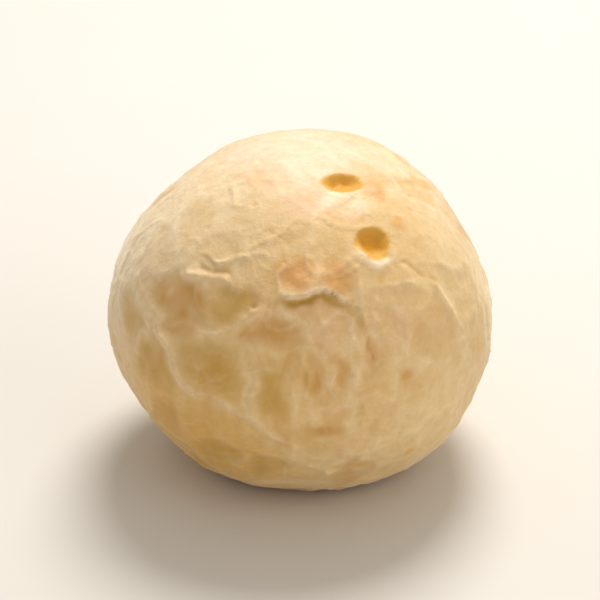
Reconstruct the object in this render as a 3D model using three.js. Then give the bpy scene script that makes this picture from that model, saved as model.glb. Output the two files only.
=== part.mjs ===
// A baked cheese bread ball: one closed crust, uneven as a hand-rolled ball is, with two blow holes,
// raised wrinkles on its front and a flat spot on which it rests.
// Millimetres, +Z up, front towards -Y. The flat spot lies on z = 0 below the middle of the ball.
import * as THREE from 'three';
import { mergeVertices } from 'three/addons/utils/BufferGeometryUtils.js';

// Driving sizes, in millimetres.
const HALF_WIDTH = 27.2;
const HALF_HEIGHT = 24.8;
const CENTRE_ABOVE_FLAT = 21.3;
const EDGE_BLEND = 1.6;
const FLAT_TOLERANCE = 1e-6;
const FACET_ROWS = 28;

// A place on the crust is [longitude, latitude] in degrees, seen from the middle of the ball.
// Longitude 0 is the front and 90 the right side; latitude 0 is level and 90 the top.

// Broad swells and hollows of the hand-rolled dough. Spread is in degrees, rise in millimetres.
const SWELLS = [
  { at: [65, -38], spread: 23, rise: 0.7 },
  { at: [104, 25], spread: 19, rise: -1.3 },
  { at: [-115, 38], spread: 17, rise: -1.0 },
  { at: [-67, -36], spread: 23, rise: -0.9 },
  { at: [145, 57], spread: 16, rise: 0.4 },
  { at: [-5, 20], spread: 24, rise: 0.3 },
  { at: [178, -22], spread: 26, rise: 0.4 },
  { at: [-160, 12], spread: 15, rise: -0.6 },
];

// Finer unevenness: sine waves laid across the ball in directions spread evenly round it, each
// one a little shorter than the one before.
const WAVES = [
  { count: 7, perRadian: 4.2, rise: 0.2 },
  { count: 11, perRadian: 10, rise: 0.08 },
];
const WAVE_SHORTENING = 0.1;
const GOLDEN_ANGLE = Math.PI * (3 - Math.sqrt(5));

// Blow holes: half sizes across and up, turned by tilt degrees, with a raised rim round each.
const BLOW_HOLES = [
  { at: [39, 69], halfAcross: 3.5, halfUp: 2.2, tilt: -18, depth: 1.2, rim: 0.2 },
  { at: [31.5, 45.5], halfAcross: 2.8, halfUp: 2.6, tilt: 0, depth: 1.3, rim: 0.25 },
];

// Shares of a hole's half size: where its floor ends, its wall ends and its rim is highest.
const FLOOR_REACH = 0.3;
const WALL_REACH = 1.08;
const RIM_REACH = 1.3;
const RIM_WIDTH = 0.28;

// Raised wrinkles of the crust, each a line through a few places.
const WRINKLES = [
  { rise: 0.5, width: 1.1, line: [[-8, 33], [1, 33], [7, 34], [13, 31], [19, 27], [20, 18]] },
  { rise: 0.35, width: 1.1, line: [[18, 27], [27, 32], [36, 31], [45, 29], [50, 22], [55, 10]] },
  { rise: 0.35, width: 1.1, line: [[-47, 31], [-38, 34], [-29, 35], [-19, 32]] },
  { rise: 0.3, width: 1.1, line: [[-44, 40], [-35, 39], [-24, 42], [-12, 44]] },
  { rise: 0.4, width: 1.2, line: [[-66, 25], [-54, 19], [-42, 12], [-37, 4], [-27, 0]] },
  { rise: 0.35, width: 1.1, line: [[-27, 0], [-15, -4], [-7, -13], [-4, -19]] },
];

// The facets draw together over the fine features, so that these keep their shape.
const GATHERS = [
  { at: [38, 58], spread: 18, pull: 0.6 },
  { at: [0, 15], spread: 30, pull: 0.2 },
];

const CRUST_COLOUR = '#e6c896';

const radians = THREE.MathUtils.degToRad;

function directionTo([longitude, latitude]) {
  const level = Math.cos(radians(latitude));
  return new THREE.Vector3(
    level * Math.sin(radians(longitude)),
    -level * Math.cos(radians(longitude)),
    Math.sin(radians(latitude)),
  );
}

function bell(distance, spread) {
  return Math.exp(-((distance / spread) ** 2));
}

// The plain ball: a spheroid, a little flatter than it is wide.
function spheroidRadius(direction) {
  const level = Math.hypot(direction.x, direction.y) / HALF_WIDTH;
  const upright = direction.z / HALF_HEIGHT;
  return 1 / Math.hypot(level, upright);
}

function swellRise(direction) {
  let rise = 0;
  for (const swell of SWELLS) {
    const turn = direction.angleTo(directionTo(swell.at));
    rise += swell.rise * bell(turn, radians(swell.spread));
  }
  return rise;
}

function waveRise(direction) {
  let rise = 0;
  for (const wave of WAVES) {
    for (let i = 0; i < wave.count; i += 1) {
      const height = 1 - (2 * i + 1) / wave.count;
      const level = Math.sqrt(1 - height * height);
      const heading = new THREE.Vector3(
        level * Math.cos(i * GOLDEN_ANGLE),
        level * Math.sin(i * GOLDEN_ANGLE),
        height,
      );
      const shortened = wave.perRadian * (1 + WAVE_SHORTENING * i);
      const phase = i * i + shortened * direction.dot(heading);
      rise += (wave.rise / Math.sqrt(wave.count)) * Math.sin(phase) * Math.SQRT2;
    }
  }
  return rise;
}

// How far a direction lies from a hole's middle, as a share of the hole's own half size there.
function shareOfHole(direction, hole) {
  const middle = directionTo(hole.at);
  const east = new THREE.Vector3(-middle.y, middle.x, 0).normalize();
  const north = middle.clone().cross(east);
  const turn = direction.angleTo(middle);
  if (turn > Math.PI / 2) return Infinity;
  const across = HALF_WIDTH * direction.dot(east);
  const up = HALF_WIDTH * direction.dot(north);
  const tilt = radians(hole.tilt);
  const along = across * Math.cos(tilt) + up * Math.sin(tilt);
  const beside = up * Math.cos(tilt) - across * Math.sin(tilt);
  return Math.hypot(along / hole.halfAcross, beside / hole.halfUp);
}

function holeRise(direction) {
  let rise = 0;
  for (const hole of BLOW_HOLES) {
    const share = shareOfHole(direction, hole);
    rise -= hole.depth * (1 - THREE.MathUtils.smoothstep(share, FLOOR_REACH, WALL_REACH));
    rise += hole.rim * bell(share - RIM_REACH, RIM_WIDTH);
  }
  return rise;
}

function distanceToLine(direction, line) {
  let nearest = Infinity;
  const foot = new THREE.Vector3();
  for (let i = 1; i < line.length; i += 1) {
    const stretch = new THREE.Line3(directionTo(line[i - 1]), directionTo(line[i]));
    stretch.closestPointToPoint(direction, true, foot);
    nearest = Math.min(nearest, HALF_WIDTH * foot.distanceTo(direction));
  }
  return nearest;
}

function wrinkleRise(direction) {
  let rise = 0;
  for (const wrinkle of WRINKLES) {
    const height = wrinkle.rise * bell(distanceToLine(direction, wrinkle.line), wrinkle.width);
    rise = Math.max(rise, height);
  }
  return rise;
}

// The smaller of two lengths, rounded over where they are within blend of each other.
function softMinimum(first, second, blend) {
  const mix = THREE.MathUtils.clamp(0.5 + (second - first) / (2 * blend), 0, 1);
  return second * (1 - mix) + first * mix - blend * mix * (1 - mix);
}

function crustRadius(direction) {
  const ball = spheroidRadius(direction)
    + swellRise(direction)
    + waveRise(direction)
    + holeRise(direction)
    + wrinkleRise(direction);
  if (direction.z >= 0) return ball;
  const flat = CENTRE_ABOVE_FLAT / -direction.z;
  return softMinimum(ball, flat, EDGE_BLEND);
}

// Directions spread nearly evenly over the whole ball: the points of a gridded cube, with the grid
// lines at equal angles, then gathered towards the fine features.
function spreadDirection(cubePoint) {
  const direction = cubePoint.clone();
  for (const axis of ['x', 'y', 'z']) {
    direction[axis] = Math.tan((Math.PI / 2) * cubePoint[axis]);
  }
  direction.normalize();
  for (const gather of GATHERS) {
    const middle = directionTo(gather.at);
    const turn = direction.angleTo(middle);
    const pull = gather.pull * bell(turn, radians(gather.spread));
    direction.lerp(middle, pull).normalize();
  }
  return direction;
}

function crustGeometry() {
  const cube = new THREE.BoxGeometry(1, 1, 1, FACET_ROWS, FACET_ROWS, FACET_ROWS);
  cube.deleteAttribute('normal');
  cube.deleteAttribute('uv');
  const geometry = mergeVertices(cube);
  const places = geometry.attributes.position;
  const point = new THREE.Vector3();
  for (let i = 0; i < places.count; i += 1) {
    point.fromBufferAttribute(places, i);
    const direction = spreadDirection(point);
    point.copy(direction).multiplyScalar(crustRadius(direction));
    const height = point.z + CENTRE_ABOVE_FLAT;
    places.setXYZ(i, point.x, point.y, height < FLAT_TOLERANCE ? 0 : height);
  }
  geometry.computeBoundingBox();
  const middle = geometry.boundingBox.getCenter(new THREE.Vector3());
  geometry.translate(-middle.x, -middle.y, 0);
  geometry.computeVertexNormals();
  return geometry;
}

function crustMaterial() {
  return new THREE.MeshStandardMaterial({ color: CRUST_COLOUR, roughness: 0.7, metalness: 0 });
}

const ball = new THREE.Mesh(crustGeometry(), crustMaterial());
ball.name = 'cheese_ball';

const part = new THREE.Group();
part.add(ball);

export default part;
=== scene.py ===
"""A baked cheese bread ball, 54 mm across, on a plain pale floor.

The crust is one mesh. Each of its points lies on a ray from the middle of the ball, at a distance
that the functions below work out in millimetres: the plain ball, the swells of the hand-rolled
dough, the raised wrinkles round sunken cells, the blow holes and the flat underside. The same
functions give the masks that the crust's colours follow.
"""
import itertools
import math

import bpy
import numpy as np
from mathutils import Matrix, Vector
from mathutils.kdtree import KDTree


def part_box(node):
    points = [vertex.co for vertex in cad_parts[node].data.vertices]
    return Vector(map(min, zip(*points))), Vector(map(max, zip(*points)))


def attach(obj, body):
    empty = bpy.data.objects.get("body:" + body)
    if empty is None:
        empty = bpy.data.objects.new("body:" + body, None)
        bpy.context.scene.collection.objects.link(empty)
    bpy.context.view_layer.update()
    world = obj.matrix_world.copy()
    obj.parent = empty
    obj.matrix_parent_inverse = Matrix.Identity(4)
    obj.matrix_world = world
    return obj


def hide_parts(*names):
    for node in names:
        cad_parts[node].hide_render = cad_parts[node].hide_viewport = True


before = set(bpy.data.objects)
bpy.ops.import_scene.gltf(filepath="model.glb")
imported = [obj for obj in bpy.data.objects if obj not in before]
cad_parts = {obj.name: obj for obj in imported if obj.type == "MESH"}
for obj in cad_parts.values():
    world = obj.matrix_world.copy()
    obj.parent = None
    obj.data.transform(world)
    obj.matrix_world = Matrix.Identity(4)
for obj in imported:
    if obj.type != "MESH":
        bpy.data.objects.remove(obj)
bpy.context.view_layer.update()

METRES = 0.001

# The ball, in millimetres, as the CAD part has it.
HALF_WIDTH = 27.2
HALF_HEIGHT = 24.8
CENTRE_ABOVE_FLAT = 21.3
EDGE_BLEND = 1.6

# Directions that point down less steeply than this are taken to be this steep, so that a level one
# divides nothing by zero.
NEARLY_LEVEL = 1e-6

# Squares along each edge of the gridded cube that the mesh is made from.
GRID_ROWS = 126

# A place on the crust is (longitude, latitude) in degrees, seen from the middle of the ball.
# Longitude 0 is the front and 90 the right side; latitude 0 is level and 90 the top.

# Broad swells and hollows of the dough: place, spread in degrees, rise in millimetres.
SWELLS = [
    ((65, -38), 23, 0.7),
    ((104, 25), 19, -1.3),
    ((-115, 38), 17, -1.0),
    ((-67, -36), 23, -0.9),
    ((145, 57), 16, 0.4),
    ((-5, 20), 24, 0.3),
    ((178, -22), 26, 0.4),
    ((-160, 12), 15, -0.6),
]

# Sine waves laid across the ball, each one a little shorter than the one before: how many, how many
# of a wave's radians in each radian round the ball, rise in millimetres.
WAVES = [(7, 4.2, 0.2), (11, 10, 0.08)]
WAVE_SHORTENING = 0.1
GOLDEN_ANGLE = math.pi * (3 - math.sqrt(5))

# The main wrinkles of the front: rise and width in millimetres, then the places they run through.
RIDGES = [
    (0.26, 0.36, [(-44, 40), (-35, 39), (-30, 40), (-24, 42), (-18, 44), (-12, 44)]),
    (0.24, 0.36, [(-47, 31), (-38, 34), (-33, 34), (-29, 35), (-25, 33), (-19, 32)]),
    (0.24, 0.36, [(18, 27), (22, 31), (27, 32), (32, 31), (36, 31), (41, 30), (45, 29)]),
    (0.28, 0.38, [(45, 29), (49, 26), (50, 22), (51, 19), (53, 14), (55, 10)]),
    (0.24, 0.36, [(57, 8), (50, 9), (43, 8), (36, 7), (31, 3)]),
    (0.24, 0.6, [(-66, 25), (-60, 22), (-54, 19), (-46, 15)]),
    (0.18, 0.4, [(-4, -6), (4, -3), (15, 1), (22, 4)]),
    (0.34, 0.45, [(-51, 17), (-46, 15), (-42, 12), (-39, 8), (-37, 4), (-33, 2), (-27, 0)]),
    (0.3, 0.42, [(-27, 0), (-21, -1), (-15, -4), (-10, -8), (-7, -13), (-4, -19)]),
    (0.2, 0.36, [(-11, 29), (-14, 28), (-18, 25), (-22, 21), (-30, 19), (-38, 19), (-46, 15)]),
    (0.26, 0.36, [(-19, 18), (-15, 15), (-13, 10), (-13, 6), (-14, 1), (-14, -4)]),
    (0.22, 0.34, [(-19, 23), (-13, 27), (-6, 27), (0, 24), (2, 19)]),
    (0.24, 0.34, [(5, 27), (8, 22), (6, 17), (9, 12), (7, 6)]),
    (0.24, 0.34, [(17, 26), (15, 20), (17, 14), (15, 8), (17, 1)]),
    (0.14, 0.4, [(31, 31), (30, 24), (33, 17), (31, 10), (36, 7)]),
    (0.18, 0.34, [(23, 27), (24, 20), (28, 14), (27, 7)]),
    (0.2, 0.5, [(17, 43), (20, 39), (20, 33), (19, 28)]),
    (0.16, 0.5, [(7, 35), (6, 40), (3, 45)]),
    (0.2, 0.55, [(24, 44), (27, 41), (31, 39), (36, 38)]),
    (0.12, 0.7, [(0, -20), (6, -21), (12, -21), (22, -19), (31, -15)]),
    (0.1, 0.5, [(9, -23), (16, -24), (24, -23), (30, -25)]),
    (0.2, 0.36, [(-6, -12), (-4, -19), (3, -25), (14, -28), (24, -29), (33, -27)]),
]

# Short streaks that run up the middle of the front: longitude, latitudes of both ends.
STREAKS = [
    (1, 3, 17), (5, -2, 12), (9, 1, 15), (13, -6, 9), (17, -9, 4), (22, -4, 8), (-3, 2, 14), (27, 6, 16),
]
STREAK_RISE = 0.2
STREAK_WIDTH = 0.28

# The lifted flake across the middle of the front, with a groove under its edge.
FLAKE = [
    (-8, 33.5), (-4, 32), (1, 32.5), (5, 33.5), (7.5, 34), (10, 32.5), (13, 31), (16, 29), (19, 26.5),
    (20, 23), (20, 18),
]
FLAKE_RISE = 0.62
FLAKE_GROOVE = 0.3

# Across the flake, in millimetres from its edge: how far its slope and its lip reach above, how soon it
# drops below, and where the groove and the painted shade under it lie and how wide they are.
FLAKE_SLOPE = 2.3
FLAKE_LIP = 0.35
FLAKE_DROP = 0.16
GROOVE_AWAY, GROOVE_WIDTH = 0.62, 0.45
SHADE_AWAY, SHADE_WIDTH = 0.75, 0.55

# How far the painted highlight along the flake's edge reaches, in millimetres above and below its line.
HIGHLIGHT_ABOVE = 0.55
HIGHLIGHT_BELOW = 0.2

# Shares of the flake's length between which its lift and the painted shade under it weaken, and its
# painted highlight fades out.
WEAKENING = (0.42, 0.8)
FADING = (0.5, 0.85)

# Thin cracks of the skin, and their width in millimetres. They are sunk into the crust and darkened with
# painted shade.
CRACK_WIDTH = 0.3
CRACKS = [
    [(38, 38), (42, 36), (45, 32), (48, 30), (52, 27)],
    [(20, 20), (20, 16), (21, 12)],
    [(-40, 36), (-35, 36), (-28, 37), (-24, 35)],
]

# Blow holes: place, half sizes across and up in millimetres, tilt in degrees, depth and the rim's
# rise in millimetres, and how far the outline is drawn to one with three corners, one of them at the
# bottom.
BLOW_HOLES = [
    ((39, 69), 3.5, 2.2, -18, 1.2, 0.05, 0.02),
    ((31.5, 45.5), 2.8, 2.6, 0, 1.3, 0.24, 0.07),
]

# Shares of a hole's half size: where its wall starts and ends, where its rim is highest and how wide
# it is, over what its colour fades out, and over what its colour grows deeper inwards.
WALL_REACH = (0.3, 1.04)
RIM_REACH = 1.32
RIM_WIDTH = 0.26
CHEESE_REACH = (0.86, 1.06)
DEPTH_REACH = (0.1, 0.8)

# Cells between the wrinkles of the front: tone, then the middles of the cells that have it.
FRONT_CELLS = {
    "tan": [(-38, 25), (9, 13), (-45, -13), (21, -28)],
    "olive": [
        (-22, 29), (-26, 9), (-48, 3), (-62, 12), (-7, 9), (30, 36), (-26, -22), (-14, -26), (-46, -29),
    ],
    "toast": [(-8, 22.5)],
    "pink": [(5, 27), (12, 21), (28, 24)],
    "plain": [
        (-62, 34), (-54, 26), (41, 17), (-36, 41), (-16, 41), (-52, 45), (22, 15), (31, 5), (44, 36),
        (61, 22), (62, 4), (48, -2), (30, -8), (14, -7), (-12, -12), (-30, -10), (-60, -10), (7, -14),
        (30, -20), (46, -20), (-4, -34), (22, 34), (36, 29), (-6, 51), (14, 50), (52, 52), (-34, 56),
        (3, 8), (72, -10), (70, 36), (-76, 30), (78, 4), (77, 19), (84, -6),
    ],
}

# No scattered cell starts closer than this to the middle of a front cell, in degrees.
FRONT_CELL_REACH = 11

# Patches that keep to no cell: place, then half sizes across and up in millimetres.
TONE_PATCHES = {
    "tan": [((-40, 25), 5.2, 3.2), ((7, -9), 2.6, 1.3), ((3, 10), 1.5, 2.6)],
    "olive": [
        ((-23, 29.5), 4.0, 2.1), ((-27, 9.5), 5.0, 3.4), ((-49, 4), 2.8, 2.8), ((-24, -21), 3.4, 2.2),
    ],
    "toast": [((-8, 22.5), 4.0, 1.6)],
    "pink": [
        ((9, 24), 3.0, 2.0), ((20, 17), 1.4, 2.6), ((33, 20), 2.8, 3.6), ((2, 63), 4.0, 3.2),
        ((-40, 69), 3.4, 1.2),
    ],
}
PALE_PATCHES = [
    ((12, -21), 7.0, 2.0), ((27, -16), 3.4, 1.2), ((42, -10), 6.0, 5.0), ((-36, 37), 3.0, 0.7),
    ((-14, 2), 1.4, 3.4), ((-10, -38), 9.0, 1.6),
]
TOAST_PATCHES = [
    ((-2, 39.5), 2.8, 2.7), ((13.5, 37.5), 2.6, 2.6), ((20.5, 15), 0.8, 1.8), ((31, 6), 1.1, 0.8),
    ((55, 61.5), 2.4, 2.0), ((150, 30), 3.4, 2.4), ((-128, 8), 3.6, 2.4), ((96, -8), 3.0, 2.0),
]
FLOURY_PATCHES = [
    ((22, 63), 2.8, 1.6), ((33, 58.5), 3.0, 1.6), ((31, 39.3), 2.3, 0.7), ((25, 44), 0.6, 1.3),
]

# The edge of a patch fades out between these shares of its half size.
PATCH_EDGE = (0.45, 1.35)

# Bundles of wrinkles: how many; in degrees, where they start, how far apart the wrinkles of one are,
# how far each runs to either side of its middle and how far it bends; rise and width in millimetres.
BUNDLES = 10
BUNDLE_LONGITUDES = (70, 290)
BUNDLE_LATITUDES = (-30, 60)
BUNDLE_GAP = (3, 7)
BUNDLE_RUN = (5, 15)
BUNDLE_BEND = 3
BUNDLE_RISE = (0.07, 0.19)
BUNDLE_WIDTH = (0.3, 0.5)

# Pinholes and browned bits of cheese: how many, their radius, and a pinhole's depth and rim, in
# millimetres.
PINHOLES = 34
PIN_RADIUS = (0.2, 0.42)
PIN_DEPTH = (0.1, 0.26)
PIN_RIM = 0.05
CHEESE_SPOTS = 9
CHEESE_RADIUS = (0.7, 1.7)


# ---------------------------------------------------------------- places, noise and smooth steps

def direction_to(place):
    longitude, latitude = (math.radians(angle) for angle in place)
    level = math.cos(latitude)
    return np.array([level * math.sin(longitude), -level * math.cos(longitude), math.sin(latitude)])


def unit(vectors):
    return vectors / np.linalg.norm(vectors, axis=-1, keepdims=True)


def smooth_step(low, high, value):
    share = np.clip((value - low) / (high - low), 0, 1)
    return share * share * (3 - 2 * share)


def bell(distance, spread):
    return np.exp(-((distance / spread) ** 2))


def turn_from(directions, place):
    """How far each direction is from a place, in degrees."""
    return np.degrees(np.arccos(np.clip(directions @ direction_to(place), -1, 1)))


class Noise:
    """Smooth noise in space, about -1 to 1, that is the same each run."""

    TABLE = 32
    GAIN = 1.7

    def __init__(self, seed):
        random = np.random.default_rng(seed)
        self.slopes = unit(random.normal(size=(self.TABLE, self.TABLE, self.TABLE, 3)))

    def __call__(self, points, wavelength):
        scaled = points / wavelength
        corner = np.floor(scaled).astype(int)
        inside = scaled - corner
        blend = inside ** 3 * (inside * (inside * 6 - 15) + 10)
        total = np.zeros(len(points))
        for step in itertools.product((0, 1), repeat=3):
            x, y, z = ((corner + step) % self.TABLE).T
            weight = np.prod(np.where(step, blend, 1 - blend), axis=1)
            total += weight * np.sum(self.slopes[x, y, z] * (inside - step), axis=1)
        return self.GAIN * total


NOISES = [Noise(seed) for seed in range(6)]


def fractal(points, wavelength, octaves, first=0):
    """Noise with finer and finer noise added to it."""
    total = np.zeros(len(points))
    for octave in range(octaves):
        noise = NOISES[(first + octave) % len(NOISES)]
        total += 0.5 ** octave * noise(points, wavelength * 0.5 ** octave)
    return total


def warped(points, amount, wavelength, first=0):
    """The points, each moved a little by noise, so that what is drawn on them wanders."""
    shift = [NOISES[(first + axis) % len(NOISES)](points, wavelength) for axis in range(3)]
    return points + amount * np.stack(shift, axis=1)


# ---------------------------------------------------------------- the plain ball

def spheroid_radius(directions):
    level = np.hypot(directions[:, 0], directions[:, 1]) / HALF_WIDTH
    return 1 / np.hypot(level, directions[:, 2] / HALF_HEIGHT)


def swell_rise(directions):
    return sum(rise * bell(turn_from(directions, place), spread) for place, spread, rise in SWELLS)


def wave_rise(directions):
    rise = np.zeros(len(directions))
    for count, per_radian, height in WAVES:
        for i in range(count):
            up = 1 - (2 * i + 1) / count
            level = math.sqrt(1 - up * up)
            heading = (level * math.cos(i * GOLDEN_ANGLE), level * math.sin(i * GOLDEN_ANGLE), up)
            phase = i * i + per_radian * (1 + WAVE_SHORTENING * i) * (directions @ np.array(heading))
            rise += height * math.sqrt(2 / count) * np.sin(phase)
    return rise


def soft_minimum(first, second, blend):
    mix = np.clip(0.5 + (second - first) / (2 * blend), 0, 1)
    return second * (1 - mix) + first * mix - blend * mix * (1 - mix)


# ---------------------------------------------------------------- the network of wrinkles

def scattered(count, jitter, seed):
    """Directions spread evenly over the ball and then shaken."""
    i = np.arange(count)
    up = 1 - (2 * i + 1) / count
    level = np.sqrt(1 - up * up)
    turn = i * GOLDEN_ANGLE
    even = np.stack([level * np.cos(turn), level * np.sin(turn), up], axis=1)
    spacing = math.sqrt(4 * math.pi / count)
    return unit(even + np.random.default_rng(seed).normal(scale=jitter * spacing, size=even.shape))


CHANCE_FACTORS = (12.9898, 78.233, 37.719)
CHANCE_SCALE = 43758.5453


def chance(*numbers):
    """A fixed number from 0 to 1 for each row of whole numbers, which looks random from row to row."""
    mixed = sum(number * factor for number, factor in zip(numbers, CHANCE_FACTORS))
    return np.abs(np.modf(np.sin(mixed) * CHANCE_SCALE)[0])


class Cells:
    """The cells round seeds: their borders, and what tone and luck each cell has."""

    NEIGHBOURS = 4
    TONE_EDGE = (-0.4, 2.6)

    def __init__(self, points, seeds, tones, seed):
        tree = KDTree(len(seeds))
        for index, place in enumerate(seeds):
            tree.insert(place, index)
        tree.balance()
        found = [[hit[1] for hit in tree.find_n(point, self.NEIGHBOURS)] for point in points]
        found = np.array(found)
        own = seeds[found[:, 0]]
        self.cell = found[:, 0]
        self.tones = np.array(tones)[self.cell]
        self.pairs = []
        for column in range(1, self.NEIGHBOURS):
            other = seeds[found[:, column]]
            between = other - own
            away = np.sum(((own + other) / 2 - points) * between, axis=1)
            low = np.minimum(found[:, 0], found[:, column])
            high = np.maximum(found[:, 0], found[:, column])
            self.pairs.append((away / np.linalg.norm(between, axis=1), chance(low, high, seed)))
        self.border = np.min([distance for distance, _ in self.pairs], axis=0)

    def ridges(self, width, faint):
        """1 on the strongest borders and 0 inside the cells. A share of the borders is faint."""
        heights = []
        for distance, luck in self.pairs:
            strength = smooth_step(faint - 0.25, faint + 0.6, luck)
            heights.append(strength * crest(np.abs(distance), width * (0.7 + 0.6 * luck)))
        return np.max(heights, axis=0)

    def value(self, seed):
        return chance(self.cell, self.cell * 0 + seed)

    def toned(self, tone):
        """Rises from next to nothing on the borders of the cells of a tone to 1 in their middles."""
        return (self.tones == tone) * smooth_step(*self.TONE_EDGE, self.border)


# Scattered cells: how many over the whole ball, and what share of them has each tone.
LOOSE_CELLS = 260
LOOSE_TONES = {"tan": 0.26, "olive": 0.08, "toast": 0.05, "pink": 0.08}


def crust_cells(points):
    """The placed cells of the front, and scattered cells over the rest of the crust."""
    seeds, tones = [], []
    for tone, places in FRONT_CELLS.items():
        seeds += [direction_to(place) for place in places]
        tones += [tone] * len(places)
    placed = np.array(seeds)
    random = np.random.default_rng(4)
    for seed in scattered(LOOSE_CELLS, 0.6, 1):
        luck = random.random()
        if np.degrees(np.arccos(np.clip(placed @ seed, -1, 1))).min() < FRONT_CELL_REACH:
            continue
        seeds.append(seed)
        shares = np.cumsum(list(LOOSE_TONES.values()))
        tones.append([*LOOSE_TONES, "plain"][int(np.searchsorted(shares, luck))])
    wandering = warped(warped(warped(points, 1.7, 6.0), 0.6, 2.0, first=3), 0.22, 0.8, first=1)
    return Cells(wandering, np.array(seeds) * HALF_WIDTH, tones, 1)


# A line is left out farther than this from it, in millimetres, where its effect is too small to see.
LINE_REACH = 5
FAR_AWAY = 99


def smooth_line(places, steps=4):
    """A smooth curve on the ball through the places."""
    corners = np.array([direction_to(place) for place in places]) * HALF_WIDTH
    ends = (2 * corners[0] - corners[1], 2 * corners[-1] - corners[-2])
    corners = np.vstack([ends[0], corners, ends[1]])
    curve = []
    for before, start, end, after in zip(corners, corners[1:], corners[2:], corners[3:]):
        for t in np.arange(steps) / steps:
            bend = (2 * before - 5 * start + 4 * end - after) * t * t
            twist = (3 * start - before - 3 * end + after) * t ** 3
            curve.append(0.5 * (2 * start + (end - before) * t + bend + twist))
    curve.append(corners[-2])
    return unit(np.array(curve)) * HALF_WIDTH


def beside_line(points, curve):
    """Each point's distance from a curve, its side of it, and how far along the curve it is."""
    middle = curve[len(curve) // 2]
    reach = np.linalg.norm(curve - middle, axis=1).max() + LINE_REACH
    near = np.linalg.norm(points - middle, axis=1) < reach
    close = points[near]
    nearest = np.full(len(close), np.inf)
    side = np.zeros(len(close))
    along = np.zeros(len(close))
    for index, (start, end) in enumerate(zip(curve, curve[1:])):
        stretch = end - start
        share = np.clip((close - start) @ stretch / (stretch @ stretch), 0, 1)
        away = close - start - share[:, None] * stretch
        distance = np.linalg.norm(away, axis=1)
        closer = distance < nearest
        side[closer] = np.sign(away @ np.cross(start, stretch))[closer]
        along[closer] = (index + share[closer]) / (len(curve) - 1)
        nearest[closer] = distance[closer]
    results = np.zeros((3, len(points)))
    results[0] = FAR_AWAY
    results[:, near] = nearest, side, along
    return results


# Shares of a line's length over which it rises from nothing at either end.
TAPER = (-0.02, 0.12)


def taper(along):
    """Fades a line out over its ends."""
    return smooth_step(*TAPER, along) * smooth_step(*TAPER, 1 - along)


# How a crest's height is shared between its sharp top and its flanks, and how wide the flanks are.
TOP_SHARE, FLANK_SHARE = 0.6, 0.4
FLANK_WIDTHS = 2.6


def crest(distance, width):
    """A thin sharp crest on wide flanks, which leaves the crust between two ridges hollow."""
    return TOP_SHARE * bell(distance, width) + FLANK_SHARE * np.exp(-distance / (FLANK_WIDTHS * width))


# A ridge of the front: its crest, and the steps of the crust to the left and right of the line, as
# shares of its rise; how far a step reaches in millimetres; and the reach of its glow, in widths.
CREST_LIFT = 1.6
STEP_LEFT, STEP_RIGHT = 0.35, -0.2
STEP_REACH = 2.0
GLOW_WIDTHS = 2.4


def drawn_ridges(points):
    """The main wrinkles of the front, the steps of the crust beside them and their pale flanks."""
    wandering = warped(warped(points, 0.5, 2.6, first=2), 0.18, 0.9, first=1)
    strength = 0.7 + 0.6 * NOISES[4](points, 2.6)
    relief = np.zeros(len(points))
    steps = np.zeros(len(points))
    glow = np.zeros(len(points))
    for rise, width, places in RIDGES:
        distance, side, along = beside_line(wandering, smooth_line(places))
        fade = rise * strength * taper(along)
        relief = np.maximum(relief, CREST_LIFT * fade * crest(distance, width))
        steps += np.where(side > 0, STEP_LEFT, STEP_RIGHT) * fade * bell(distance, STEP_REACH)
        glow = np.maximum(glow, fade * bell(distance, GLOW_WIDTHS * width))
    for longitude, bottom, top in STREAKS:
        places = [(longitude, bottom), (longitude + 1, (bottom + top) / 2), (longitude - 1, top)]
        distance, _, along = beside_line(wandering, smooth_line(places))
        relief = np.maximum(relief, STREAK_RISE * taper(along) * bell(distance, STREAK_WIDTH))
    return relief, steps, glow


def crease_lines(points, wavelength, width, seed):
    """Thin lines that wander over the ball, where smooth noise passes through zero."""
    noise = NOISES[seed]
    step = 0.1
    level = noise(points, wavelength)
    change = [noise(points + step * axis, wavelength) - level for axis in np.eye(3)]
    slope = np.linalg.norm(change, axis=0) / step
    return bell(level / np.maximum(slope, 0.5 / wavelength), width)


def flake(points):
    """The lifted flake: a gentle rise to a sharp edge with a groove under it, the painted shade that
    lies in the groove, and the painted highlight along the edge."""
    wandering = warped(warped(points, 0.5, 2.2, first=1), 0.1, 0.9, first=4)
    distance, side, along = beside_line(wandering, smooth_line(FLAKE))
    above = side > 0
    strength = (1 - 0.6 * smooth_step(*WEAKENING, along)) * (0.95 + 0.35 * NOISES[0](points, 1.7))
    fade = taper(along) * strength
    slope = 0.78 * bell(distance, FLAKE_SLOPE) + 0.22 * bell(distance, FLAKE_LIP)
    lift = np.where(above, slope, bell(distance, FLAKE_DROP))
    groove = np.where(above, 0, bell(distance - GROOVE_AWAY, GROOVE_WIDTH))
    # Painted shade in the groove under the flake's edge.
    painted_shade = np.where(above, 0, bell(distance - SHADE_AWAY, SHADE_WIDTH))
    # The painted highlight along the flake's edge, wider above the line than below it.
    edge = taper(along) * (1 - smooth_step(*FADING, along))
    edge = edge * np.where(above, bell(distance, HIGHLIGHT_ABOVE), bell(distance, HIGHLIGHT_BELOW))
    return FLAKE_RISE * fade * lift - FLAKE_GROOVE * fade * groove, fade * painted_shade, edge


def cracks(points):
    wandering = warped(points, 0.35, 1.5, first=3)
    depth = np.zeros(len(points))
    for places in CRACKS:
        distance, _, along = beside_line(wandering, smooth_line(places))
        depth = np.maximum(depth, taper(along) * bell(distance, CRACK_WIDTH))
    return depth


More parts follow.
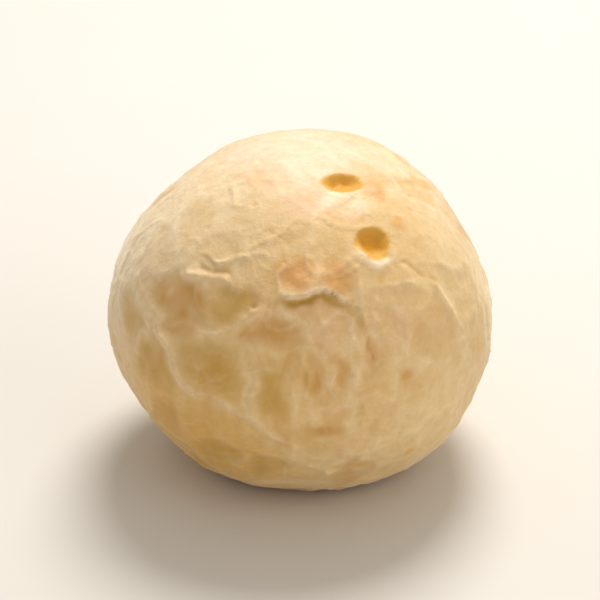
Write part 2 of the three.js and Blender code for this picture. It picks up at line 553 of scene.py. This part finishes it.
def bundles(points):
    """Bundles of wrinkles that run across the sides and the back, roughly side by side."""
    random = np.random.default_rng(11)
    wandering = warped(warped(points, 1.6, 5.0, first=4), 0.4, 1.4, first=2)
    relief = np.zeros(len(points))
    for _ in range(BUNDLES):
        place = np.array([random.uniform(*BUNDLE_LONGITUDES), random.uniform(*BUNDLE_LATITUDES)])
        heading = random.uniform(0, 2 * math.pi)
        gap = 0
        for _ in range(random.integers(2, 5)):
            gap += random.uniform(*BUNDLE_GAP)
            turn = heading + random.uniform(-0.35, 0.35)
            middle = place + gap * np.array([math.cos(heading), math.sin(heading)])
            run = random.uniform(*BUNDLE_RUN) * np.array([-math.sin(turn), math.cos(turn)])
            bend = random.uniform(-BUNDLE_BEND, BUNDLE_BEND) * np.array([math.cos(turn), math.sin(turn)])
            line = smooth_line([middle - run, middle + bend, middle + run])
            distance, _, along = beside_line(wandering, line)
            rise = random.uniform(*BUNDLE_RISE)
            width = random.uniform(*BUNDLE_WIDTH)
            relief = np.maximum(relief, rise * taper(along) * crest(distance, width))
    return relief


# ---------------------------------------------------------------- holes

def share_of_oval(directions, place, half_across, half_up, tilt=0):
    """How far out each direction is, as a share of an oval's half size there, and at what angle."""
    middle = direction_to(place)
    east = unit(np.array([-middle[1], middle[0], 0]))
    north = np.cross(middle, east)
    across, up = HALF_WIDTH * (directions @ east), HALF_WIDTH * (directions @ north)
    tilt = math.radians(tilt)
    along = (across * math.cos(tilt) + up * math.sin(tilt)) / half_across
    beside = (up * math.cos(tilt) - across * math.sin(tilt)) / half_up
    share = np.where(directions @ middle > 0, np.hypot(along, beside), FAR_AWAY)
    return share, np.arctan2(beside, along)


def blow_holes(directions, points):
    """Burst bubbles with a sloping golden wall, a bumpy floor and a broken, lumpy rim: their relief,
    where the inside shows, how deep it looks, and their rims."""
    relief = np.zeros(len(points))
    inside = np.zeros(len(points))
    depths = np.zeros(len(points))
    rims = np.zeros(len(points))
    for place, half_across, half_up, tilt, depth, rim_rise, corners in BLOW_HOLES:
        share, angle = share_of_oval(directions, place, half_across, half_up, tilt)
        outline = 1 + corners * np.cos(3 * (angle + math.pi / 2))
        share = share / outline + 0.07 * NOISES[1](points, 1.9) + 0.04 * NOISES[2](points, 0.7)
        bowl = 1 - smooth_step(*WALL_REACH, share)
        floor = 0.14 * fractal(points, 1.4, 2, first=2) * (1 - smooth_step(0.4, 0.9, share))
        lumps = 0.6 + 0.7 * NOISES[3](points, 1.8)
        lower = 0.4 + 0.6 * np.cos(angle + math.radians(90 + tilt))
        rim = np.clip(bell(share - RIM_REACH, RIM_WIDTH) * lumps * lower, 0, 1)
        relief += rim_rise * rim - bowl * (depth + floor)
        inside = np.maximum(inside, 1 - smooth_step(*CHEESE_REACH, share))
        depths = np.maximum(depths, 1 - smooth_step(*DEPTH_REACH, share))
        rims = np.maximum(rims, rim)
    return relief, inside, depths, rims


def pinholes(directions, points):
    """Small burst bubbles, scattered over the whole crust."""
    random = np.random.default_rng(5)
    relief = np.zeros(len(points))
    inside = np.zeros(len(points))
    for middle in scattered(PINHOLES, 0.4, 8):
        radius = random.uniform(*PIN_RADIUS)
        distance = HALF_WIDTH * np.linalg.norm(directions - middle, axis=1)
        pit = bell(distance, radius)
        rim = bell(distance - 1.6 * radius, 0.4 * radius)
        relief += PIN_RIM * rim - random.uniform(*PIN_DEPTH) * pit
        inside = np.maximum(inside, pit)
    return relief, inside


def patches(directions, points, ovals):
    """1 inside ragged soft-edged ovals."""
    ragged = 0.28 * fractal(points, 3.6, 3, first=3)
    mask = np.zeros(len(points))
    for place, half_across, half_up in ovals:
        share, _ = share_of_oval(directions, place, half_across, half_up)
        mask = np.maximum(mask, 1 - smooth_step(*PATCH_EDGE, share + ragged))
    return mask


def cheese_spots(directions, points):
    """Bits of cheese that browned in the crust."""
    random = np.random.default_rng(17)
    spots = np.zeros(len(points))
    ragged = 0.5 * fractal(points, 1.6, 2, first=1)
    for middle in scattered(CHEESE_SPOTS, 0.5, 23):
        radius = random.uniform(*CHEESE_RADIUS)
        distance = HALF_WIDTH * np.linalg.norm(directions - middle, axis=1)
        spots = np.maximum(spots, 1 - smooth_step(0.3, 1.3, distance / radius + ragged))
    return spots


# ---------------------------------------------------------------- the whole crust

# Broad soft patches: place, spread in degrees, strength in the middle.
FRONT = ((-10, 12), 58, 1)
COMBED = ((6, 3), 30, 1)
LIP = ((-14, -38), 46, 1)
BROAD_TONES = {
    # Deeper golden on the lower left, away from the light: partly the crust's browning, partly painted
    # shade.
    "golden_with_painted_shade": [((-50, -26), 34, 1.5)],
    # Painted light: the left edge and the upper right side made paler, as if lit there.
    "painted_edge_light": [((-79, 31), 38, 1), ((92, 50), 24, 0.5)],
    "warm": [((44, 47), 20, 1)],
}

# Latitudes, in degrees, where each of these begins and where it is full.
# CROWN: whiter towards the top, partly the crust's own pale crown and partly painted highlight.
CROWN = (52, 78)
# LOW: more golden towards the bottom, partly the crust's browning and partly painted warm shade.
LOW = (0, -42)
UNDERSIDE = (-43, -63)
STREAKED = (5, -12)
BANDED = (-16, -32)

# The lip round the foot of the front: its latitude and spread in degrees.
LIP_LATITUDE = -38
LIP_SPREAD = 3.2

# The borders of the cells: width in millimetres, how faint they are, rise in millimetres, glow.
BORDER_WIDTH = 0.25
BORDER_FAINTNESS = 0.72
BORDER_RISE = 0.26
BORDER_GLOW = 0.8

# Layers of creases, from long to fine. Wander is how far they stray, over what length, and the noise
# that moves them. Then come where they lie, their own wavelength, width and noise, and how much they
# raise the crust in millimetres and lighten it.
CREASES = [
    {"wander": (1.0, 3.2, 1), "where": "creased", "line": (8.0, 0.26, 3), "rise": 0.2, "glow": 0.5},
    {"wander": (0.6, 1.7, 2), "where": "crazed", "line": (3.4, 0.2, 5), "rise": 0.11, "glow": 0.4},
    {"wander": (0.3, 1.0, 4), "where": "crazed", "line": (1.9, 0.16, 0), "rise": 0.03, "glow": 0.2},
]

# How far inside a cell's borders, in millimetres, its hollow and its colour start and are full.
HOLLOW_EDGE = (0, 1.7)
CELL_EDGE = (0, 1.4)

# Between these heights of the combed noise a streak fades in, on either side of 0.
COMB_EDGE = (0.05, 0.75)

# Rises and depths of the rest of the relief, in millimetres.
HOLLOW_DEPTH = 0.16
TONED_DEPTH = 0.2
CRACK_DEPTH = 0.2
SKIN_RISE = 0.05
STREAKED_RISE = 0.06
COMB_DEPTH = 0.07
BAND_RISE = 0.08
LIP_RISE = 0.2
SPOT_RISE = 0.08
FLOUR_RISE = 0.06
DIMPLE_DEPTH = 0.12


def broad_patch(directions, place, spread, strength):
    """A patch that fades out evenly from the middle, with no edge."""
    return strength * bell(turn_from(directions, place), spread)


def creases(points, plates, smoothed):
    """The borders of the cells and the finer creases: their relief, their glow, and where the crust
    is crazed."""
    wrinkled = np.clip(0.6 + 0.7 * NOISES[3](points, 13) - smoothed, 0.08, 1)
    shares = {
        "creased": np.clip(0.4 + 0.9 * NOISES[0](points, 9) - smoothed, 0, 1),
        "crazed": np.clip(0.4 + 0.8 * NOISES[5](points, 7) - smoothed, 0, 1),
    }
    borders = plates.ridges(BORDER_WIDTH, BORDER_FAINTNESS)
    relief = BORDER_RISE * wrinkled * borders
    glow = BORDER_GLOW * wrinkled * borders
    for crease in CREASES:
        amount, length, first = crease["wander"]
        lines = crease_lines(warped(points, amount, length, first=first), *crease["line"])
        share = shares[crease["where"]]
        relief += crease["rise"] * share * lines
        glow += crease["glow"] * share * lines
    return relief, glow, shares["crazed"]


def cell_tones(directions, points, plates, front, crown):
    """Where each tone of the cells and of the patches lies, patchier away from the front."""
    patchy = np.clip(0.7 + 0.8 * NOISES[5](points, 4.5), 0, 1)
    strength = front + (1 - front) * patchy * (0.3 + 0.5 * plates.value(9))
    tones = {}
    for tone, ovals in TONE_PATCHES.items():
        of_cells = strength * plates.toned(tone) * (1 - 0.8 * crown)
        tones[tone] = np.maximum(of_cells, patches(directions, points, ovals))
    return tones


def crust(directions):
    """The crust's distance from the middle of the ball in each direction, and its colour masks."""
    points = directions * HALF_WIDTH
    latitude = np.degrees(np.arcsin(directions[:, 2]))
    front = broad_patch(directions, *FRONT)
    crown = smooth_step(*CROWN, latitude + 8 * NOISES[0](points, 12))
    floury = patches(directions, points, FLOURY_PATCHES)

    plates = crust_cells(points)
    crease_relief, crease_glow, crazed = creases(points, plates, 0.4 * crown + 0.9 * floury)
    drawn, steps, flanks = drawn_ridges(points)
    wrinkles = np.maximum(drawn, bundles(points))
    flake_rise, painted_shade, flake_painted_highlight = flake(points)
    crack = cracks(points)
    hole_rise, cheese, cheese_depth, rims = blow_holes(directions, points)
    pin_rise, pins = pinholes(directions, points)
    spots = cheese_spots(directions, points)
    tones = cell_tones(directions, points, plates, front, crown)
    toned = np.max([tones["tan"], tones["olive"], tones["toast"]], axis=0)
    hollow = smooth_step(*HOLLOW_EDGE, plates.border) * plates.value(3) * (1 - crown)

    # Fine unevenness: all over, in upright streaks on the lower half, combed upright on the front,
    # and in level bands with a lumpy lip round the foot.
    skin = SKIN_RISE * fractal(points, 2.4, 3, first=1)
    streaks = NOISES[2](points * (1, 1, 0.22), 1.5) * smooth_step(*STREAKED, latitude)
    combed = broad_patch(directions, *COMBED)
    comb = fractal(warped(points, 0.8, 4.0) * (1, 1, 0.35), 2.3, 2, first=4)
    bands = NOISES[4](points * (0.3, 0.3, 1), 1.3) * smooth_step(*BANDED, latitude)
    lip = bell(latitude - LIP_LATITUDE + 4 * NOISES[1](points, 9), LIP_SPREAD)
    lip = lip * broad_patch(directions, *LIP)
    lip *= np.clip(0.5 + NOISES[3](points, 5), 0, 1)

    relief = (
        crease_relief
        - (HOLLOW_DEPTH * hollow + TONED_DEPTH * toned) * (1 - crown)
        + wrinkles
        + steps
        + flake_rise
        - CRACK_DEPTH * crack
        + hole_rise
        + pin_rise
        + skin
        + STREAKED_RISE * streaks
        - COMB_DEPTH * combed * comb
        + BAND_RISE * bands
        + LIP_RISE * lip
        + SPOT_RISE * spots
        + FLOUR_RISE * floury
    )
    plain = spheroid_radius(directions) + swell_rise(directions) + wave_rise(directions)
    dimples = DIMPLE_DEPTH * np.clip(fractal(points, 3.0, 3, first=2) - 0.1, 0, 1)
    flat = CENTRE_ABOVE_FLAT / np.maximum(-directions[:, 2], NEARLY_LEVEL) - dimples
    radius = soft_minimum(plain + relief, flat, EDGE_BLEND)

    uneven = np.clip(0.85 + 0.5 * NOISES[2](points, 2.4), 0, 1)
    browning = latitude + 4 * NOISES[5](points, 6) + 3 * NOISES[1](points, 2.2)
    masks = {
        "ridge": np.clip(0.8 * crease_glow + 1.3 * wrinkles + 2.2 * flanks * uneven, 0, 1),
        # The flake's share of the bright mask is a painted highlight along its edge.
        "bright": np.clip(0.9 * flake_painted_highlight + 0.4 * rims + 0.85 * floury * uneven, 0, 1),
        "front": front,
        "pale_patch": patches(directions, points, PALE_PATCHES) * uneven,
        "dark_streak": combed * smooth_step(*COMB_EDGE, comb),
        "pale_streak": combed * smooth_step(*COMB_EDGE, -comb),
        "cell": smooth_step(*CELL_EDGE, plates.border) * plates.value(7) * (1 - crown),
        "crazed": crazed * (1 - crown),
        "toasted": patches(directions, points, TOAST_PATCHES),
        # Painted shade: under the flake's edge, and at half strength along the cracks.
        "groove": np.clip(painted_shade + 0.5 * crack, 0, 1),
        "cheese": cheese,
        "cheese_depth": cheese_depth,
        "spot": np.clip(spots + 0.3 * pins, 0, 1),
        # Whiter towards the top: partly the pale crown, partly painted highlight.
        "crown": crown,
        # More golden towards the bottom: partly browning, partly painted warm shade.
        "low": smooth_step(*LOW, latitude + 5 * NOISES[2](points, 9)),
        "under": smooth_step(*UNDERSIDE, browning),
    }
    for tone, mask in tones.items():
        masks[tone] = mask * uneven
    for tone, places in BROAD_TONES.items():
        glows = [broad_patch(directions, *place) for place in places]
        masks[tone] = np.clip(np.max(glows, axis=0), 0, 1)
    return radius, masks


# ---------------------------------------------------------------- the mesh

def cube_grid(rows):
    """The points of a gridded cube of half size 1, each once, and its squares as four corners each."""
    steps = np.arange(rows + 1)
    face = len(steps) ** 2
    across, up = np.meshgrid(steps, steps, indexing="ij")
    places, squares = [], []
    for axis, side in itertools.product(range(3), (0, rows)):
        index = np.arange(face).reshape(across.shape) + len(places) * face
        square = np.stack([index[:-1, :-1], index[1:, :-1], index[1:, 1:], index[:-1, 1:]], axis=-1)
        square = square.reshape(-1, 4)
        outward = (side == rows) != (axis == 1)
        squares.append(square if outward else square[:, ::-1])
        places.append(np.insert(np.stack([across, up], axis=-1), axis, side, axis=-1).reshape(-1, 3))
    points, merged = np.unique(np.concatenate(places), axis=0, return_inverse=True)
    return 2 * points / rows - 1, merged.reshape(-1)[np.concatenate(squares)]


# The mesh is drawn together over the fine features: place, spread in degrees, pull.
GATHERS = [((38, 58), 18, 0.4), ((0, 15), 45, 0.22)]


def gathered(directions):
    for place, spread, pull in GATHERS:
        share = pull * bell(turn_from(directions, place), spread)[:, None]
        directions = unit(directions * (1 - share) + direction_to(place) * share)
    return directions


def make_crust(name):
    """The crust as one mesh, with the middle of its width and depth over the CAD part's."""
    grid, squares = cube_grid(GRID_ROWS)
    directions = gathered(unit(np.tan(math.pi / 4 * grid)))
    radius, masks = crust(directions)
    points = directions * radius[:, None]
    low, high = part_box("cheese_ball")
    middle = (points.min(axis=0) + points.max(axis=0)) / 2
    points[:, :2] += np.array((low + high)[:2]) / (2 * METRES) - middle[:2]
    points[:, 2] += CENTRE_ABOVE_FLAT + low.z / METRES
    mesh = bpy.data.meshes.new(name)
    mesh.from_pydata((points * METRES).tolist(), [], squares.tolist())
    mesh.shade_smooth()
    for mask, values in masks.items():
        attribute = mesh.attributes.new(mask, "FLOAT", "POINT")
        attribute.data.foreach_set("value", values.astype(np.float32))
    ball = bpy.data.objects.new(name, mesh)
    bpy.context.collection.objects.link(ball)
    return ball


# ---------------------------------------------------------------- the material

def linear(code):
    """A colour written as six hex digits, as the shader wants it."""
    channels = []
    for i in (0, 2, 4):
        share = int(code[i:i + 2], 16) / 255
        channels.append(share / 12.92 if share <= 0.04045 else ((share + 0.055) / 1.055) ** 2.4)
    return channels + [1]


class NodeMaker:
    """Short calls for the few kinds of node that the materials use."""

    def __init__(self, material):
        material.use_nodes = True
        self.tree = material.node_tree
        self.shader = self.tree.nodes["Principled BSDF"]
        place = self.tree.nodes.new("ShaderNodeTexCoord")
        self.place = place.outputs["Object"]

    def join(self, source, socket):
        if isinstance(source, bpy.types.NodeSocket):
            self.tree.links.new(source, socket)
        else:
            socket.default_value = source

    def mask(self, name):
        node = self.tree.nodes.new("ShaderNodeAttribute")
        node.attribute_name = name
        return node.outputs["Fac"]

    def noise(self, wavelength_mm, detail=3, roughness=0.55):
        node = self.tree.nodes.new("ShaderNodeTexNoise")
        self.join(self.place, node.inputs["Vector"])
        node.inputs["Scale"].default_value = 1 / (wavelength_mm * METRES)
        node.inputs["Detail"].default_value = detail
        node.inputs["Roughness"].default_value = roughness
        return node.outputs["Fac"]

    def spread(self, value, low, high, to_low=0, to_high=1):
        node = self.tree.nodes.new("ShaderNodeMapRange")
        self.join(value, node.inputs["Value"])
        sizes = {"From Min": low, "From Max": high, "To Min": to_low, "To Max": to_high}
        for socket, size in sizes.items():
            node.inputs[socket].default_value = size
        return node.outputs["Result"]

    def folds(self, wavelength_mm):
        """1 along thin lines that wander over the crust, and 0 between them."""
        off = self.tree.nodes.new("ShaderNodeMath")
        off.operation = "SUBTRACT"
        self.join(self.noise(wavelength_mm, 2), off.inputs[0])
        off.inputs[1].default_value = 0.5
        size = self.tree.nodes.new("ShaderNodeMath")
        size.operation = "ABSOLUTE"
        self.join(off.outputs[0], size.inputs[0])
        return self.spread(size.outputs[0], 0, 0.06, 1, 0)

    def times(self, first, second):
        node = self.tree.nodes.new("ShaderNodeMath")
        node.operation = "MULTIPLY"
        self.join(first, node.inputs[0])
        self.join(second, node.inputs[1])
        return node.outputs[0]

    def mix(self, share, first, second):
        node = self.tree.nodes.new("ShaderNodeMix")
        node.data_type = "RGBA"
        self.join(share, node.inputs["Factor"])
        self.join(first, node.inputs[6])
        self.join(second, node.inputs[7])
        return node.outputs[2]

    def blend(self, share, codes):
        """The colour between two that are written as six hex digits."""
        first, second = codes
        return self.mix(share, linear(first), linear(second))

    def tint(self, colour, mask, share, code):
        """The colour, with a share of another one mixed in where the mask is."""
        return self.mix(self.times(mask, share), colour, linear(code))

    def bump(self, height, depth_mm, normal=None):
        node = self.tree.nodes.new("ShaderNodeBump")
        node.inputs["Distance"].default_value = depth_mm * METRES
        self.join(height, node.inputs["Height"])
        if normal is not None:
            self.join(normal, node.inputs["Normal"])
        return node.outputs["Normal"]


# The crust's plain mottled colour, and what is mixed into it, in turn: mask, share, colour.
PLAIN_TONES = ("ead3a6", "e2c592")
CRUST_TONES = [
    ("front", 0.8, "e6c081"),
    # low: partly browning towards the foot, partly painted warm shade.
    ("low", 0.6, "e9c98c"),
    # Deeper golden on the lower left: partly browning, partly painted shade.
    ("golden_with_painted_shade", 0.8, "dfaa3e"),
    # Painted light on the left edge and the upper right side.
    ("painted_edge_light", 0.85, "f2e0c0"),
    ("pale_patch", 0.6, "f0d9a8"),
    # crown: partly the crust's pale top, partly painted highlight.
    ("crown", 0.9, "ecd5b8"),
    ("warm", 0.5, "e0b97a"),
    ("dark_streak", 0.5, "cf9a50"),
    ("pale_streak", 0.5, "f2dcae"),
    ("tan", 0.9, "ca913a"),
    ("olive", 0.88, "c49838"),
    ("toast", 0.8, "cd8f42"),
    ("toasted", 0.8, "d4954a"),
    ("pink", 0.6, "ebc09a"),
    ("cell", 0.3, "d2a45a"),
    ("ridge", 0.7, "f5dab0"),
    # groove is painted shade, under the flake's edge and along the cracks.
    ("groove", 0.95, "b58724"),
    # bright holds the painted highlight along the flake's edge, as well as the pale hole rims and floury
    # patches.
    ("bright", 0.9, "fceaca"),
]

# Share and colour of the brown specks all over, coarse and fine, and of the browned cheese.
DAPPLE = (0.22, "c99a52")
FRECKLE = (0.16, "cfa567")
SPOT = (0.6, "dda24c")

# The inside of the blow holes, from shallow to deep, and the browned underside's two tones and share.
INSIDE_TONES = ("d8a440", "df9c22")
UNDERSIDE_TONES = ("d9b077", "b58247")
UNDERSIDE_SHARE = 0.88


def crust_material():
    material = bpy.data.materials.new("baked_crust")
    make = NodeMaker(material)
    mottle = make.spread(make.noise(4.0), 0.35, 0.65)
    dapple = make.spread(make.noise(2.2, 4, 0.68), 0.42, 0.62)
    freckle = make.spread(make.noise(0.9), 0.4, 0.7)
    browning = make.spread(make.noise(3.2, 4, 0.68), 0.4, 0.62)

    colour = make.blend(mottle, PLAIN_TONES)
    for name, share, code in CRUST_TONES:
        colour = make.tint(colour, make.mask(name), share, code)
    colour = make.tint(colour, dapple, *DAPPLE)
    colour = make.tint(colour, freckle, *FRECKLE)
    colour = make.tint(colour, make.mask("spot"), *SPOT)
    inside = make.blend(make.mask("cheese_depth"), INSIDE_TONES)
    colour = make.mix(make.mask("cheese"), colour, inside)
    underside = make.blend(browning, UNDERSIDE_TONES)
    colour = make.mix(make.times(make.mask("under"), UNDERSIDE_SHARE), colour, underside)
    make.join(colour, make.shader.inputs["Base Color"])

    rough = make.spread(make.noise(1.6), 0.3, 0.7, 0.5, 0.66)
    make.join(rough, make.shader.inputs["Roughness"])
    grain = make.bump(make.noise(0.35, 4), 0.03)
    skin = make.bump(make.noise(1.1, 4, 0.6), 0.1, grain)
    skin = make.bump(make.times(make.folds(1.8), make.mask("crazed")), 0.025, skin)
    make.join(skin, make.shader.inputs["Normal"])
    make.shader.inputs["Specular IOR Level"].default_value = 0.35
    make.shader.inputs["Sheen Weight"].default_value = 0.4
    make.shader.inputs["Sheen Roughness"].default_value = 0.35
    make.shader.inputs["Sheen Tint"].default_value = (1.0, 0.95, 0.85, 1)
    make.shader.inputs["Subsurface Weight"].default_value = 0.12
    make.shader.inputs["Subsurface Radius"].default_value = (1.0, 0.6, 0.25)
    make.shader.inputs["Subsurface Scale"].default_value = 0.5 * METRES
    return material


FLOOR_TONES = ("d9d5ce", "d5d0c8")


def floor_material():
    material = bpy.data.materials.new("pale_floor")
    make = NodeMaker(material)
    make.join(make.blend(make.noise(60), FLOOR_TONES), make.shader.inputs["Base Color"])
    make.shader.inputs["Roughness"].default_value = 0.6
    return material


# ---------------------------------------------------------------- floor, light and camera

# The camera looks down by this many degrees, and the ball's width fills this share of its frame.
CAMERA_ELEVATION = 28
CAMERA_LENS_MM = 180
SENSOR_MM = 36
SHARE_OF_FRAME = 0.64

# The floor is a wide disc, with its radius in metres.
FLOOR_RADIUS = 3
FLOOR_SIDES = 128

# Soft round lamps that face the ball: name, place and width in metres, watts, colour.
LAMPS = [
    ("key", (0.06, 0.26, 0.46), 0.24, 2.55, (1.0, 0.97, 0.93)),
    ("side", (0.4, -0.35, 0.3), 0.5, 0.7, (1.0, 0.95, 0.88)),
]
SKY_COLOUR = (1.0, 0.965, 0.91, 1)
SKY_STRENGTH = 0.56


def make_floor():
    bpy.ops.mesh.primitive_circle_add(vertices=FLOOR_SIDES, radius=FLOOR_RADIUS, fill_type="NGON")
    floor = bpy.context.object
    floor.name = "floor"
    floor.data.materials.append(floor_material())


def aim(thing, target):
    thing.rotation_euler = (target - thing.location).to_track_quat("-Z", "Y").to_euler()


def make_lamp(target, name, place, width, watts, colour):
    light = bpy.data.lights.new(name, "AREA")
    light.shape = "DISK"
    light.size = width
    light.energy = watts
    light.color = colour
    lamp = bpy.data.objects.new(name, light)
    bpy.context.collection.objects.link(lamp)
    lamp.location = Vector(place)
    aim(lamp, target)


def make_world():
    world = bpy.data.worlds.new("studio")
    world.use_nodes = True
    background = world.node_tree.nodes["Background"]
    background.inputs["Color"].default_value = SKY_COLOUR
    background.inputs["Strength"].default_value = SKY_STRENGTH
    bpy.context.scene.world = world


def make_camera(target, width):
    camera_data = bpy.data.cameras.new("camera")
    camera_data.lens = CAMERA_LENS_MM
    camera_data.sensor_width = SENSOR_MM
    camera = bpy.data.objects.new("camera", camera_data)
    bpy.context.collection.objects.link(camera)
    distance = width / SHARE_OF_FRAME * CAMERA_LENS_MM / SENSOR_MM
    elevation = math.radians(CAMERA_ELEVATION)
    camera.location = target + distance * Vector((0, -math.cos(elevation), math.sin(elevation)))
    aim(camera, target)
    bpy.context.scene.camera = camera


def main():
    low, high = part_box("cheese_ball")
    middle = (low + high) / 2
    ball = make_crust("cheese_ball_crust")
    ball.data.materials.append(crust_material())
    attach(ball, "root")
    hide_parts("cheese_ball")
    make_floor()
    make_world()
    for lamp in LAMPS:
        make_lamp(middle, *lamp)
    make_camera(middle, high.x - low.x)
    bpy.context.scene.view_settings.view_transform = "Standard"


main()
